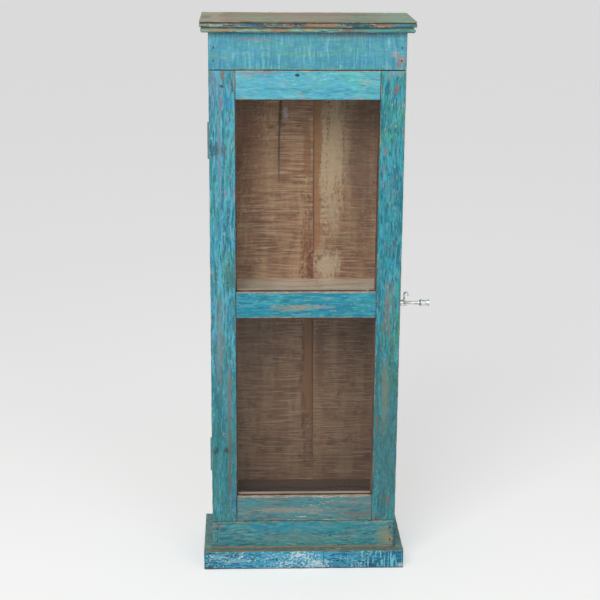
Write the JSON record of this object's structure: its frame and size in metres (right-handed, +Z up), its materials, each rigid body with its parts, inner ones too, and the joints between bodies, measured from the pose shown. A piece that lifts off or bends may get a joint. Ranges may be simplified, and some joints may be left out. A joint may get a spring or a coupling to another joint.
{
  "type": "glass wall cabinet",
  "caption": "Tall narrow wall cabinet of worn painted timber with a glazed rail-and-stile door, one shelf, a beaded cornice, a plinth and a side turn latch.",
  "frame": {"origin": "floor-plane point under the plane of the door's face, on the centre line of the body", "axes": "+Z up along the height, -Y out of the glazed front, +X to the latch side as seen from the front"},
  "size_m": [0.4882, 0.206, 1.2],
  "materials": {
    "front_paint": "worn turquoise paint over reclaimed timber",
    "nail_iron": "dark iron",
    "bare_back_plank": "bare sawn timber",
    "bare_shelf": "bare dusty timber",
    "peg_wood": "bare riven wood",
    "carcass_paint": "worn turquoise paint over reclaimed timber",
    "glass": "clear",
    "bead_wood": "bare reddish-brown timber",
    "hinge_steel": "dulled steel",
    "nickel": "nickel plate",
    "worn_top": "paint worn through to bare wood"
  },
  "bodies": {
    "root": {"apron_board": "front_paint", "apron_nails": "nail_iron", "back_nails": "nail_iron", "back_plank_left": "bare_back_plank", "back_plank_right": "bare_back_plank", "base_band_front": "front_paint", "base_band_left": "front_paint", "base_band_right": "front_paint", "base_nails": "nail_iron", "cabinet_floor": "bare_shelf", "cornice_bead_front": "front_paint", "cornice_bead_left": "front_paint", "cornice_bead_right": "front_paint", "frieze_board": "front_paint", "frieze_nails": "nail_iron", "front_post_left": "carcass_paint", "front_post_right": "carcass_paint", "hanging_rail": "bare_back_plank", "head_rail": "carcass_paint", "hinge_lower_frame_leaf": "hinge_steel", "hinge_lower_pin": "hinge_steel", "hinge_screws_frame": "hinge_steel", "hinge_upper_frame_leaf": "hinge_steel", "hinge_upper_pin": "hinge_steel", "latch_plate": "nickel", "latch_screws": "nickel", "shelf": "bare_shelf", "side_panel_left": "carcass_paint", "side_panel_right": "carcass_paint", "sill_rail": "carcass_paint", "top_board_back": "worn_top", "top_board_front": "worn_top", "top_nails": "nail_iron"},
    "door": {"door_pegs": "peg_wood", "door_rail_bottom": "front_paint", "door_rail_middle": "front_paint", "door_rail_top": "front_paint", "door_stile_left": "front_paint", "door_stile_right": "front_paint", "glass_lower": "glass", "glass_upper": "glass", "glazing_bead_lower_bottom": "bead_wood", "glazing_bead_lower_left": "bead_wood", "glazing_bead_lower_right": "bead_wood", "glazing_bead_lower_top": "bead_wood", "glazing_bead_upper_bottom": "bead_wood", "glazing_bead_upper_left": "bead_wood", "glazing_bead_upper_right": "bead_wood", "glazing_bead_upper_top": "bead_wood", "hinge_lower_door_leaf": "hinge_steel", "hinge_screws_door": "hinge_steel", "hinge_upper_door_leaf": "hinge_steel", "latch_keeper": "nickel"},
    "latch_lever": {"latch_hook": "nickel", "latch_lever": "nickel"}
  },
  "joints": [
    {"name": "door_hinge", "type": "hinge", "parent": "root", "child": "door", "pos_m": [-0.2025, 0.0288, 0.6035], "axis": [0, 0, -1], "range_deg": [0, 180]},
    {"name": "latch_turn", "type": "hinge", "parent": "root", "child": "latch_lever", "pos_m": [0.2152, 0.0372, 0.598], "axis": [1, 0, 0], "range_deg": [0, 90]}
  ]
}
